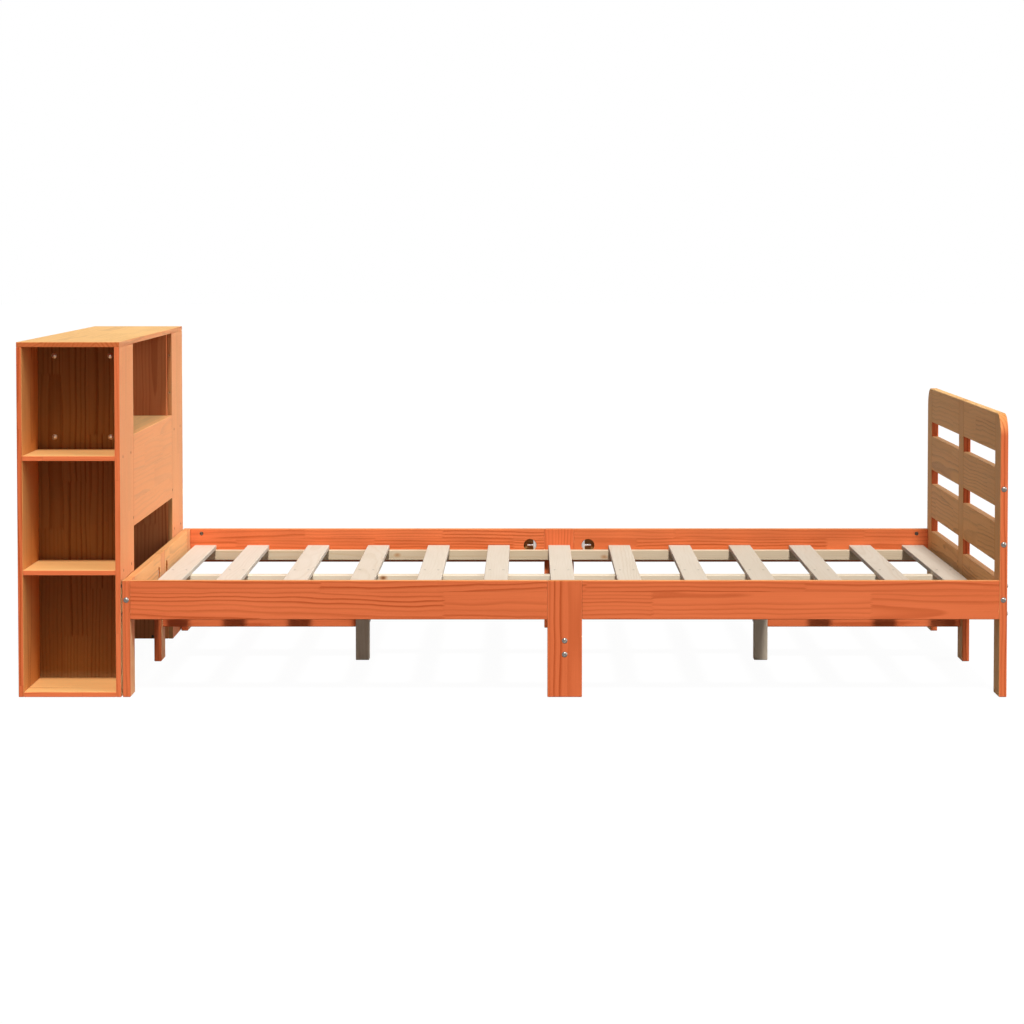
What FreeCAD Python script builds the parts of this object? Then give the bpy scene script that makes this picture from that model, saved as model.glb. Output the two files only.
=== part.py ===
"""Pine bed with a slatted base, a slotted footboard and a bookcase headboard.

Millimetres, +Z up. X runs from the bookcase to the footboard and Y across the bed.
Left is -Y and right is +Y, as seen from the foot of the bed.
The origin is on the floor, under the middle of the whole piece of furniture.
"""
import FreeCAD, Part
import os

# Bed frame
frame_length = 2004.0
frame_width = 1240.0
frame_board = 18.0
rail_underside = 180.0
rail_height = 90.0
leg_width = 80.0
frame_arris = 1.5

# Footboard
foot_rows = 4
foot_slot = 38.0
foot_corner = 50.0

# Slatted base
batten_lift = 7.0
batten_height = 27.0
batten_width = 23.0
slat_count = 13
slat_width = 59.0
slat_thickness = 12.0
slat_end_clearance = 0.5
end_slat_margin = 12.5
end_slat_step = 143.5
beam_width = 34.0
post_side = 34.0
post_spacing = 1000.0
stretcher_underside = 83.0
stretcher_height = 64.0

# Bookcase headboard
case_depth = 237.0
case_height = 820.0
case_board = 12.0
case_arris = 1.0
case_clearance = 0.3
tower_depth = 238.0
bottom_cubby_height = 270.0
middle_cubby_height = 252.0
mid_shelf_rise = 34.0
front_panel_height = 218.5

# Bolts with barrel nuts
bolt_radius = 3.0
bolt_clearance = 0.3
thread_clearance = 0.1
bolt_head_radius = 6.5
bolt_head_height = 3.0
bolt_shoulder_radius = 5.2
bolt_shoulder_height = 1.8
bolt_crown_radius = 2.6
bolt_past_nut = 3.0
bolt_tip_clearance = 1.0
nut_radius = 5.0
nut_clearance = 0.2
nut_setback = 31.0
nut_recess = 1.0
nut_floor = 3.0
rail_bolt_spread = 64.0
stretcher_bolt_spread = 32.0

# Half-moon nuts in round pockets
pocket_radius = 17.5
pocket_floor = 3.0
pocket_setback = 38.5
half_moon_height = 8.7
half_moon_clearance = 0.3
stud_past_pocket = 8.2

# Dowels
dowel_radius = 4.0
dowel_clearance = 0.2
dowel_tip_clearance = 1.0
dowel_reach = 25.0
dowel_leg_reach = 12.0
foot_dowel_spread = 50.0
case_dowel_radius = 3.0
case_dowel_reach = 15.0
case_dowel_shallow = 8.0
panel_dowel_drop = 38.0
panel_dowel_pitch = 98.0
spare_panel_holes = 2
mid_shelf_dowel_spread = 70.0
top_dowel_inset = 55.0

# Bolts that tie the towers to the middle cubby
connector_inset_x = 40.0
connector_inset_z = 28.5
insert_radius = 5.0
insert_length = 9.0

# Shanks, dowels, nuts and bolt heads have a few flat sides each, to keep the model light
shank_sides = 6
nut_sides = 8
head_sides = 12

X = FreeCAD.Vector(1, 0, 0)
Y = FreeCAD.Vector(0, 1, 0)
Z = FreeCAD.Vector(0, 0, 1)
SIDES = {"left": -1, "right": 1}

# Stations along the bed
overall_length = case_depth + case_clearance + frame_length + 2 * frame_board + 2 * bolt_head_height
case_rear = -overall_length / 2
case_front = case_rear + case_depth
head_outer = case_front + case_clearance + bolt_head_height
head_inner = head_outer + frame_board
foot_inner = head_inner + frame_length
foot_outer = foot_inner + frame_board
head_line = (head_outer + head_inner) / 2
foot_line = (foot_inner + foot_outer) / 2
bed_middle = (head_inner + foot_inner) / 2

# Stations across the bed
side_outer = frame_width / 2
side_inner = side_outer - frame_board
side_line = side_outer - frame_board / 2
leg_inner = side_outer - leg_width
half_leg = leg_width / 2

# Levels
rail_top = rail_underside + rail_height
rail_line = rail_underside + rail_height / 2
batten_underside = rail_underside + batten_lift
batten_top = batten_underside + batten_height
slat_top = batten_top + slat_thickness
stretcher_top = stretcher_underside + stretcher_height
stretcher_line = stretcher_underside + stretcher_height / 2
foot_pitch = rail_height + foot_slot
foot_top = rail_underside + foot_rows * foot_pitch - foot_slot

# Stations and levels of the bookcase
case_inner_rear = case_rear + case_board
case_inner_front = case_front - case_board
tower_inner = side_outer - tower_depth
tower_back_face = tower_inner + case_board
cubby_end_face = tower_inner - case_board
wall_top = case_height - case_board
lower_shelf = case_board + bottom_cubby_height
upper_shelf = lower_shelf + case_board + middle_cubby_height
upper_shelf_top = upper_shelf + case_board
mid_shelf_top = upper_shelf_top + mid_shelf_rise
mid_shelf_line = mid_shelf_top - case_board / 2

solids = {}
tools = {}


def add(node, solid):
    """Put a solid into a named node."""
    solids.setdefault(node, []).append(solid)


def bore(nodes, tool):
    """Mark a tool to be cut out of each named node."""
    for node in nodes:
        tools.setdefault(node, []).append(tool)


def at(x, y, z):
    """Point in the bed's frame."""
    return FreeCAD.Vector(x, y, z)


def plank(first, last, along, arris):
    """Board between two opposite corners, with its four long edges planed to a flat.

    along is the axis 0, 1 or 2 that the grain and the long edges follow.
    """
    low = [min(first[i], last[i]) for i in range(3)]
    high = [max(first[i], last[i]) for i in range(3)]
    a = (along + 1) % 3
    b = (along + 2) % 3
    outline = [
        (low[a] + arris, low[b]), (high[a] - arris, low[b]),
        (high[a], low[b] + arris), (high[a], high[b] - arris),
        (high[a] - arris, high[b]), (low[a] + arris, high[b]),
        (low[a], high[b] - arris), (low[a], low[b] + arris),
    ]
    points = []
    for u, v in outline + outline[:1]:
        point = FreeCAD.Vector()
        point[along] = low[along]
        point[a] = u
        point[b] = v
        points.append(point)
    sweep = FreeCAD.Vector()
    sweep[along] = high[along] - low[along]
    return Part.Face(Part.makePolygon(points)).extrude(sweep)


def ring(centre, along, radius, sides):
    """Closed outline of equal sides round a centre, square to the direction along."""
    spoke = (X if abs(along.z) > 0.5 else Z) * radius
    turn = FreeCAD.Rotation(along, 360.0 / sides)
    points = []
    for _ in range(sides):
        points.append(centre + spoke)
        spoke = turn.multVec(spoke)
    return Part.makePolygon(points + points[:1])


def bar(start, along, radius, length, sides):
    """Straight bar from a point, with the given number of sides round its section."""
    return Part.Face(ring(start, along, radius, sides)).extrude(along * length)


def domed_bolt(seat, into, shank):
    """Bolt with a low domed head on the seat, in two sloping tiers, and a shank behind it."""
    tiers = [
        ring(seat, into, bolt_head_radius, head_sides),
        ring(seat - into * bolt_shoulder_height, into, bolt_shoulder_radius, head_sides),
        ring(seat - into * bolt_head_height, into, bolt_crown_radius, head_sides),
    ]
    head = Part.makeLoft(tiers, True, True)
    return head.fuse(bar(seat, into, bolt_radius, shank, shank_sides))


def bolted(seat, into, grip, leg, rail, mouth, crossed=None):
    """Bolt from a seat through a leg into the end of a rail, with its barrel nut.

    The nut lies across the rail in a blind hole that opens on the side mouth points to.
    crossed is a piece on that side which the hole also passes through.
    """
    length = grip + nut_setback + bolt_past_nut
    add("frame_bolts", domed_bolt(seat, into, length))
    bore([leg, rail], bar(seat, into, bolt_radius + bolt_clearance, grip + nut_setback, shank_sides))
    centre = seat + into * (grip + nut_setback)
    nut = bar(
        centre + mouth * (frame_board / 2 - nut_recess), -mouth,
        nut_radius, frame_board - nut_recess - nut_floor, nut_sides,
    )
    thread = bar(seat, into, bolt_radius + thread_clearance, length + bolt_tip_clearance, shank_sides)
    add("barrel_nuts", nut.cut(thread))
    reach = batten_width if crossed else 0
    hole = bar(
        centre + mouth * (frame_board / 2 + reach), -mouth,
        nut_radius + nut_clearance, frame_board - nut_floor + reach, nut_sides,
    )
    bore([rail, crossed] if crossed else [rail], hole)


def half_moon_joint(middle, along, facing, leg, rails):
    """Stud through a leg's width that draws the rails on both sides against it.

    Each rail has a round blind pocket that opens on the side facing points to. A half-moon
    nut, a slice of a disc that fits the pocket, bears on the pocket's wall next to the leg.
    """
    half_stud = half_leg + pocket_setback + stud_past_pocket
    add("rail_studs", bar(middle - along * half_stud, along, bolt_radius, 2 * half_stud, shank_sides))
    half_bore = half_leg + pocket_setback
    stud_bore = bar(
        middle - along * half_bore, along, bolt_radius + bolt_clearance, 2 * half_bore, shank_sides,
    )
    bore([leg] + rails, stud_bore)
    thickness = frame_board - 2 * (pocket_floor + half_moon_clearance)
    thread_radius = bolt_radius + thread_clearance
    thread = bar(middle - along * half_stud, along, thread_radius, 2 * half_stud, shank_sides)
    for rail, outward in zip(rails, (along * -1, along)):
        centre = middle + outward * half_bore
        pocket = Part.makeCylinder(
            pocket_radius, frame_board - pocket_floor, centre + facing * (frame_board / 2), facing * -1,
        )
        bore([rail], pocket)
        disc = Part.makeCylinder(
            pocket_radius - half_moon_clearance, thickness, centre - facing * (thickness / 2), facing,
        )
        chord = centre - outward * (pocket_radius - half_moon_height)
        kept = bar(chord, outward * -1, 2 * pocket_radius, pocket_radius, 4)
        add("half_moon_nuts", disc.common(kept).cut(thread))


def dowel(joint, along, behind, ahead, radius, nodes):
    """Dowel across a joint face, with a little room at both ends of its hole."""
    add("dowels", bar(joint - along * behind, along, radius, behind + ahead, shank_sides))
    room = dowel_tip_clearance
    hole = bar(
        joint - along * (behind + room), along,
        radius + dowel_clearance, behind + ahead + 2 * room, shank_sides,
    )
    bore(nodes, hole)


def head_frame():
    """Three head legs with a rail in two halves between them."""
    add("centre_head_leg", plank(
        (head_outer, -half_leg, 0), (head_inner, half_leg, rail_top), 2, frame_arris))
    for side, sign in SIDES.items():
        leg = side + "_head_leg"
        rail = side + "_head_rail"
        add(leg, plank(
            (head_outer, sign * side_outer, 0), (head_inner, sign * leg_inner, rail_top), 2, frame_arris))
        add(rail, plank(
            (head_outer, sign * leg_inner, rail_underside), (head_inner, sign * half_leg, rail_top),
            1, frame_arris))
        bolted(at(head_line, sign * side_outer, rail_line), Y * -sign, leg_width, leg, rail, X * -1)
    rails = [side + "_head_rail" for side in SIDES]
    half_moon_joint(at(head_line, 0, rail_line), Y, X, "centre_head_leg", rails)


def side_rails():
    """On each side two rail halves, a leg between them and the slats' batten."""
    for side, sign in SIDES.items():
        inward = Y * -sign
        leg = side + "_mid_leg"
        batten = side + "_batten"
        add(leg, plank(
            (bed_middle - half_leg, sign * side_outer, 0),
            (bed_middle + half_leg, sign * side_inner, rail_top), 2, frame_arris))
        rails = []
        for end, start, stop, outer, direction in (
            ("head", head_inner, bed_middle - half_leg, head_outer, 1),
            ("foot", bed_middle + half_leg, foot_inner, foot_outer, -1),
        ):
            rail = side + "_rail_" + end + "_half"
            rails.append(rail)
            add(rail, plank(
                (start, sign * side_outer, rail_underside),
                (stop, sign * side_inner, rail_top), 0, frame_arris))
            batten_start = head_inner if end == "head" else foot_inner
            add(batten, plank(
                (batten_start, sign * side_inner, batten_underside),
                (bed_middle, sign * (side_inner - batten_width), batten_top), 0, frame_arris))
            end_leg = side + ("_head_leg" if end == "head" else "_foot_stile")
            for lift, crossed in ((rail_bolt_spread / 2, None), (-rail_bolt_spread / 2, batten)):
                seat = at(outer, sign * side_line, rail_line + lift)
                bolted(seat, X * direction, frame_board, end_leg, rail, inward, crossed)
        half_moon_joint(at(bed_middle, sign * side_line, rail_line), X, inward, leg, rails)


def footboard():
    """Two stiles with rounded shoulders, a divider, and rows of boards with slots between."""
    add("foot_divider", plank((foot_inner, -half_leg, 0), (foot_outer, half_leg, foot_top), 2, frame_arris))
    for side, sign in SIDES.items():
        add(side + "_foot_stile", foot_stile(sign))
    for row in range(foot_rows):
        board = "foot_board_%d" % (row + 1)
        low = rail_underside + row * foot_pitch
        line = low + rail_height / 2
        for lift in (-foot_dowel_spread / 2, foot_dowel_spread / 2):
            reach = half_leg + dowel_reach
            dowel(at(foot_line, 0, line + lift), Y, reach, reach, dowel_radius, ["foot_divider", board])
        for side, sign in SIDES.items():
            stile = side + "_foot_stile"
            add(board, plank(
                (foot_inner, sign * leg_inner, low), (foot_outer, sign * half_leg, low + rail_height),
                1, frame_arris))
            if row < foot_rows - 1:
                bolted(at(foot_line, sign * side_outer, line), Y * -sign, leg_width, stile, board, X)
                continue
            for lift in (-foot_dowel_spread / 2, foot_dowel_spread / 2):
                joint = at(foot_line, sign * leg_inner, line + lift)
                dowel(joint, Y, dowel_reach, dowel_reach, dowel_radius, [stile, board])


def foot_stile(sign):
    """Stile with one rounded shoulder: straight runs and a quarter circle, edges planed."""
    def corner(y, z):
        return at(foot_inner, sign * y, z)

    shoulder = side_outer - foot_corner
    bend = foot_corner * 0.5 ** 0.5
    outline = [
        Part.LineSegment(corner(leg_inner, 0), corner(side_outer, 0)),
        Part.LineSegment(corner(side_outer, 0), corner(side_outer, foot_top - foot_corner)),
        Part.Arc(
            corner(side_outer, foot_top - foot_corner),
            corner(shoulder + bend, foot_top - foot_corner + bend),
            corner(shoulder, foot_top),
        ),
        Part.LineSegment(corner(shoulder, foot_top), corner(leg_inner, foot_top)),
        Part.LineSegment(corner(leg_inner, foot_top), corner(leg_inner, 0)),
    ]
    face = Part.Face(Part.Wire([part.toShape() for part in outline]))
    stile = face.extrude(X * frame_board)
    long_edges = [
        edge for edge in stile.Edges
        if edge.BoundBox.XLength < frame_arris and edge.BoundBox.ZMax > frame_arris
    ]
    return stile.makeChamfer(frame_arris, long_edges)


def slatted_base():
    """Slats on the battens and on a centre beam, which posts and a cross beam carry."""
    for start, stop in ((head_inner, bed_middle), (bed_middle, foot_inner)):
        add("centre_beam", plank(
            (start, -beam_width / 2, stretcher_top), (stop, beam_width / 2, batten_top), 0, frame_arris))
    add("cross_beam", plank(
        (bed_middle - frame_board / 2, -side_inner, stretcher_underside),
        (bed_middle + frame_board / 2, side_inner, stretcher_top), 1, frame_arris))
    lifts = (-stretcher_bolt_spread / 2, stretcher_bolt_spread / 2)
    for side, sign in SIDES.items():
        for lift in lifts:
            seat = at(bed_middle, sign * side_outer, stretcher_line + lift)
            bolted(seat, Y * -sign, frame_board, side + "_mid_leg", "cross_beam", X)
    for end, sign, wall, leg in (
        ("head", -1, head_inner, "centre_head_leg"), ("foot", 1, foot_inner, "foot_divider"),
    ):
        post = end + "_post"
        stretcher = end + "_stretcher"
        post_line = bed_middle + sign * post_spacing / 2
        post_outer = post_line + sign * post_side / 2
        post_inner = post_line - sign * post_side / 2
        add(post, plank(
            (post_inner, -post_side / 2, 0), (post_outer, post_side / 2, stretcher_top), 2, frame_arris))
        add(stretcher, plank(
            (post_outer, -frame_board / 2, stretcher_underside), (wall, frame_board / 2, stretcher_top),
            0, frame_arris))
        for lift in lifts:
            bolted(at(post_inner, 0, stretcher_line + lift), X * sign, post_side, post, stretcher, Y)
            joint = at(wall, 0, stretcher_line + lift)
            dowel(joint, X * sign, dowel_reach, dowel_leg_reach, dowel_radius, [stretcher, leg])
    end_slat = frame_length / 2 - end_slat_margin - slat_width / 2
    pitch = 2 * (end_slat - end_slat_step) / (slat_count - 3)
    slat_lines = [(index - (slat_count - 3) / 2) * pitch for index in range(slat_count - 2)]
    for index, line in enumerate([-end_slat] + slat_lines + [end_slat]):
        half_span = side_inner - slat_end_clearance
        add("slat_%02d" % (index + 1), plank(
            (bed_middle + line - slat_width / 2, -half_span, batten_top),
            (bed_middle + line + slat_width / 2, half_span, slat_top), 1, frame_arris))


def bookcase_towers():
    """Two towers, each with two walls, a back, a bottom and two shelves, open outwards."""
    for side, sign in SIDES.items():
        outer = sign * side_outer
        inner = sign * tower_inner
        back_face = sign * tower_back_face
        tower = side + "_tower"
        add(tower + "_rear_wall", plank(
            (case_rear, outer, 0), (case_inner_rear, inner, wall_top), 2, case_arris))
        add(tower + "_bed_wall", plank(
            (case_inner_front, outer, 0), (case_front, inner, wall_top), 2, case_arris))
        add(tower + "_back", plank(
            (case_inner_rear, back_face, 0), (case_inner_front, inner, wall_top), 2, case_arris))
        for node, low in (("_bottom", 0), ("_shelves", lower_shelf), ("_shelves", upper_shelf)):
            add(tower + node, plank(
                (case_inner_rear, outer, low),
                (case_inner_front, back_face, low + case_board), 0, case_arris))


def bookcase_middle():
    """Top board over both towers, and between them a cubby on a shelf with a front panel."""
    add("bookcase_top", plank(
        (case_rear, -side_outer, wall_top), (case_front, side_outer, case_height), 1, case_arris))
    add("mid_shelf", plank(
        (case_rear, -cubby_end_face, mid_shelf_top - case_board),
        (case_inner_front, cubby_end_face, mid_shelf_top), 1, case_arris))
    add("front_panel", plank(
        (case_inner_front, -tower_inner, mid_shelf_top - front_panel_height),
        (case_front, tower_inner, mid_shelf_top), 1, case_arris))
    for side, sign in SIDES.items():
        cubby_end = side + "_cubby_end"
        add(cubby_end, plank(
            (case_rear, sign * tower_inner, upper_shelf_top),
            (case_inner_front, sign * cubby_end_face, wall_top), 2, case_arris))
        cubby_dowels(side, sign, cubby_end)
        top_dowels(side, sign)
        connectors(side, sign, cubby_end)


def cubby_dowels(side, sign, cubby_end):
    """Dowels at one end of the middle shelf and of the front panel, and the spare holes above."""
    wall = side + "_tower_bed_wall"
    shelf_line = (case_rear + case_inner_front) / 2
    for shift in (-mid_shelf_dowel_spread / 2, mid_shelf_dowel_spread / 2):
        joint = at(shelf_line + shift, sign * cubby_end_face, mid_shelf_line)
        pair = ["mid_shelf", cubby_end]
        dowel(joint, Y * sign, case_dowel_reach, case_dowel_shallow, case_dowel_radius, pair)
    wall_line = case_front - case_board / 2
    panel_hole = mid_shelf_top - panel_dowel_drop
    for level in (panel_hole - panel_dowel_pitch, panel_hole):
        joint = at(wall_line, sign * tower_inner, level)
        pair = ["front_panel", wall]
        dowel(joint, Y * sign, case_dowel_reach, case_dowel_reach, case_dowel_radius, pair)
    for index in range(spare_panel_holes):
        mouth = at(wall_line, sign * tower_inner, panel_hole + (index + 1) * panel_dowel_pitch)
        bore([wall], bar(mouth, Y * sign, case_dowel_radius, case_dowel_reach, nut_sides))


def top_dowels(side, sign):
    """Dowels that locate the top board on one tower's walls."""
    for wall, line in (
        ("_tower_rear_wall", case_rear + case_board / 2), ("_tower_bed_wall", case_front - case_board / 2),
    ):
        for y in (side_outer - top_dowel_inset, tower_inner + top_dowel_inset):
            joint = at(line, sign * y, wall_top)
            pair = [side + wall, "bookcase_top"]
            dowel(joint, Z, case_dowel_reach, case_dowel_shallow, case_dowel_radius, pair)


def connectors(side, sign, cubby_end):
    """Four bolts from a tower's top cubby into threaded inserts in the middle cubby's end."""
    back = side + "_tower_back"
    inward = Y * -sign
    for x in (case_inner_rear + connector_inset_x, case_inner_front - connector_inset_x):
        for z in (upper_shelf_top + connector_inset_z, wall_top - connector_inset_z):
            seat = at(x, sign * tower_back_face, z)
            length = case_board + insert_length
            add("case_connectors", domed_bolt(seat, inward, length))
            bore([back], bar(seat, inward, bolt_radius + bolt_clearance, case_board, shank_sides))
            mouth = at(x, sign * tower_inner, z)
            sleeve = bar(mouth, inward, insert_radius, insert_length, nut_sides)
            thread = bar(seat, inward, bolt_radius + thread_clearance, length, shank_sides)
            add("case_connectors", sleeve.cut(thread))
            bore([cubby_end], bar(mouth, inward, insert_radius + nut_clearance, insert_length, nut_sides))


def write_parts():
    """Cut every node's holes and write one STEP file for each node."""
    os.makedirs("parts", exist_ok=True)
    for node, group in solids.items():
        cutters = tools.get(node, [])
        finished = [solid.cut(cutters) if cutters else solid for solid in group]
        shape = finished[0] if len(finished) == 1 else Part.makeCompound(finished)
        shape.exportStep("parts/%s.step" % node)


head_frame()
side_rails()
footboard()
slatted_base()
bookcase_towers()
bookcase_middle()
write_parts()
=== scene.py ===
"""Looks of a pine bed with a slatted base, a slotted footboard and a bookcase headboard.

Metres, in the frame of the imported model: X from the bookcase to the footboard, Y across the bed, Z up.
Boards, bolts, nuts and screws are surfaces worked out here, and each one stands where its solid is.
"""

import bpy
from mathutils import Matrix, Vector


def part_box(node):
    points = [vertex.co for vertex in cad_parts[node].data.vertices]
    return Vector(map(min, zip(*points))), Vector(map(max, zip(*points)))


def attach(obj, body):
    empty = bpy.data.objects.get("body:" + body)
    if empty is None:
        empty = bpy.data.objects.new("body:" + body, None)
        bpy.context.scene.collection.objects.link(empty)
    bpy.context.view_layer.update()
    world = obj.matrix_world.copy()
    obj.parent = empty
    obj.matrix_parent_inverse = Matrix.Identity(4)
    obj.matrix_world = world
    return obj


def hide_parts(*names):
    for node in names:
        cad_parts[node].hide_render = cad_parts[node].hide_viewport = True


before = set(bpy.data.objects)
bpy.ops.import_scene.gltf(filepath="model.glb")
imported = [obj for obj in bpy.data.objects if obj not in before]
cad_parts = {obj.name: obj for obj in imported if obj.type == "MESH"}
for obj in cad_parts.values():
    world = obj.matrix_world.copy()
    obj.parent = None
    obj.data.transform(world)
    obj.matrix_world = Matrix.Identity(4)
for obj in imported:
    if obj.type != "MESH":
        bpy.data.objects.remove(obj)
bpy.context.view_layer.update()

import math
from dataclasses import dataclass

import bmesh
import bpy
import numpy as np
from mathutils import Vector

X, Y, Z = np.eye(3)
LENGTHWISE, CROSSWISE, UPRIGHT = range(3)
SIDES = {"left": -1, "right": 1}
ENDS = {"head": -1, "foot": 1}
FOOT_ROWS = (1, 2, 3, 4)
SLATS = ["slat_%02d" % number for number in range(1, 14)]
TINY = 1e-9
WELD_DISTANCE = 1e-6

# Edges and joinery
FRAME_ARRIS = 0.0018
CASE_ARRIS = 0.0013
SLAT_ARRIS = 0.0022
SHOULDER_RADIUS = 0.050
ARRIS_STEPS = 4
SHOULDER_STEPS = 10
RAIL_BOLT_SPREAD = 0.064
STRETCHER_BOLT_SPREAD = 0.032
NUT_SETBACK = 0.031
NUT_RECESS = 0.001
NUT_FLOOR = 0.003
NUT_RADIUS = 0.005
NUT_CLEARANCE = 0.0002
POCKET_RADIUS = 0.0175
POCKET_SETBACK = 0.0385
POCKET_FLOOR = 0.003
HALF_MOON_HEIGHT = 0.0087
HALF_MOON_CLEARANCE = 0.0003
STUD_PAST_POCKET = 0.0082
THREADED_LENGTH = 0.034
THREAD_PITCH = 0.001
BOLT_RADIUS = 0.003
BOLT_HEAD_RADIUS = 0.0065
BOLT_HEAD_HEIGHT = 0.003
BOLT_PAST_NUT = 0.003
CONNECTOR_INSET_X = 0.040
CONNECTOR_INSET_Z = 0.0285
INSERT_LENGTH = 0.009
SPARE_HOLE_RADIUS = 0.003
SPARE_HOLE_DEPTH = 0.015
SPARE_HOLE_DROP = 0.038
SPARE_HOLE_PITCH = 0.098
SPARE_HOLES = 2

# Drilling and turning: how far a drill starts outside the wood, and the steps round a circle
DRILL_SPARE = 0.002
HOLE_STEPS = 24
POCKET_STEPS = 40
THREAD_STEPS = 20
ROUND_STEPS = 48
CREASE = 35
THREAD_CREASE = 60

# Screws
SLAT_SCREW_SPREAD = 0.034
SCREW_RADIUS = 0.0036
SCREW_SINK = 0.0003
SCREW_HOLE_RADIUS = 0.0040
SCREW_HOLE_DEPTH = 0.0020
CASE_SCREW_INSETS = (0.055, 0.192)
BACK_SCREW_INSET = 0.042
BACK_EDGE_SCREW_LEVEL = 0.394

# How the wood is glued up: width of one stave, and of the lines between staves and lengths
SINGLE_STAVE = 1.0
RAIL_STAVE = 0.066
PANEL_STAVE = 0.062
WIDEST_STAVE = 0.09
STAVE_START = 0.002
FINGER_PITCH = 0.002
FINGER_SLANT = 4.0
GLUE_LINE = 0.0006
BUTT_LINE = 0.0007
LINE_STRENGTH = 0.35

# Logs that the boards are cut from: range of their numbers, of the lengths between finger joints, and of
# the shift of these joints from stave to stave
LOG_NUMBERS = (0, 50)
LAP_SPACINGS = (0.32, 0.60)
LAP_SHIFTS = (0.10, 0.28)

# Noise drawn out along the grain: scale along it, scale across it, and shift from log to log
SWAY = (2.2, 7.0, 3.7)
RIPPLE = (9.0, 22.0, 1.3)
LIFT = (1.7, 5.0, 1.9)
FIBRE = (7.0, 520.0, 0.0)
CLOUD = (3.0, 14.0, 1.0)

# Rings: how far noise moves them, where the pith lies, and the part of a year that is late wood
SWAY_REACH = 0.030
RIPPLE_REACH = 0.008
LIFT_REACH = 0.024
PITH_SPREAD = 0.20
PITH_SLOPE = 0.03
LATE_WOOD = (0.42, 0.86)
YEAR_END = (0.90, 1.0)
YEAR_STRENGTH = (0.30, 0.70)
LOG_STRENGTH = (0.40, 0.60)

# Shade of the wood, from 0 for the pale colour to 1 for the dark one
BASE_SHADE = 0.18
FIBRE_SHADE = 0.32
CLOUD_SHADE = 0.40
LOG_SHADE = 0.24
END_SHADE = 0.30

# Wear of the edges, gloss and relief
EDGE_WEAR = 0.55
EDGE_WEAR_BASE = 0.45
EDGE_WEAR_PATCHES = 0.9
FIBRE_GLOSS = 0.12
LATE_GLOSS = -0.06
END_GLOSS = 0.15
LATE_RELIEF = 0.7
FIBRE_RELIEF = 0.6
PINE_RELIEF = (0.35, 0.0004)
SHEEN = 0.60
SHEEN_ROUGHNESS = 0.30
SHEEN_TINT = (1.0, 0.77, 0.36, 1)

# Painted light and shade that differ from the frame's colour: how much, the golden tint of painted light
# below zero and the brown tint of painted shade above it, and which way the face that has it is turned
# Golden tint of painted light for faces turned to the lamps, and brown tint of painted shade for faces in
# shadow
PAINTED_LIGHT_TINT = (1.24, 2.85, 2.90, 1)
PAINTED_SHADE_TINT = (0.52, 1.25, 1.40, 1)
NO_PAINTED_LIGHT = ()
# Painted light on faces turned up: most tops, more on shelves, tower bottoms and the bookcase's top and a
# little on its two ends, less on the middle shelf in the shade
PAINTED_LIGHT_ON_TOP = ((-0.50, Z),)
STRONG_PAINTED_LIGHT_ON_TOP = ((-1.0, Z),)
DIM_PAINTED_LIGHT_ON_TOP = ((-0.55, Z),)
STRONG_PAINTED_LIGHT_ON_TOP_AND_ENDS = ((-1.0, Z), (-0.18, Y), (-0.18, -Y))
# Painted light on the footboard's inner faces and slot floors, more on the crown, stiles and divider, and on
# the head rails' tops and inner faces
PAINTED_LIGHT_INSIDE = ((-0.25, Z), (-0.72, -X))
PAINTED_LIGHT_ON_CROWN = ((-0.85, Z), (-0.72, -X))
HEAD_RAIL_PAINTED_LIGHT = ((-0.50, Z), (-0.40, X))
# Painted shade on the tower backs inside their cubbies, and less on the cubby ends and the backs' faces
# toward the middle cubby
BACK_PAINTED_SHADE = 1.0
END_PAINTED_SHADE = 0.55
# Painted light on the rear walls' faces inside the cubbies
REAR_PAINTED_LIGHT = ((-0.90, X),)
# Painted shade on the bed walls' edges toward the middle cubby
EDGE_PAINTED_SHADE = 0.80
# Painted light on the side rails' inner faces
RAIL_INSIDE_PAINTED_LIGHT = -0.06
# Painted shade inside holes
HOLE_PAINTED_SHADE = 1.0

# Boards that are paler (below zero) or darker than the others: stiles, battens and slats by their own
# tone; shelves, front panel and bed walls paler as painted light; the top darker to temper its painted
# light; rear walls and posts darker as painted shade
STILE_TONE = -0.12
SHELF_PAINTED_LIGHT_TONE = -0.35
TOP_PAINTED_LIGHT_DIMMING = 0.17
CASE_PAINTED_LIGHT_TONE = -0.15
REAR_PAINTED_SHADE_TONE = 0.20
POST_PAINTED_SHADE_TONE = 0.25
BATTEN_TONE = 0.60
SLAT_TONES = (-0.10, 0.10)

# Finger joints along a board: first joint, spacing, and shift from one stave to the next
NO_LAPS = (9.0, 20.0, 0.0)
NEAR_RAIL_LAPS = {
    "left_rail_head_half": (0.727, 1.200, -0.285),
    "left_rail_foot_half": (0.166, 0.505, 0.352),
}

# How a board was cut: strength of its figure, sway of its grain, and reach beside the pith
PLAIN_CUT = (1.0, 1.0, 1.0)
FOOT_CUT = (1.35, 1.0, 1.0)
CUTS = {
    "front_panel": (0.60, 0.40, 1.0),
    "left_tower_back": (1.2, 0.6, 1.6),
    "right_tower_back": (1.2, 0.6, 1.6),
    "left_mid_leg": (1.1, 0.7, 2.4),
    "left_rail_foot_half": (0.75, 0.8, 1.0),
    "right_rail_head_half": (1.2, 0.7, 2.2),
}
CUTS.update({"foot_board_%d_%s" % (row, side): FOOT_CUT for row in FOOT_ROWS for side in SIDES})

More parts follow.
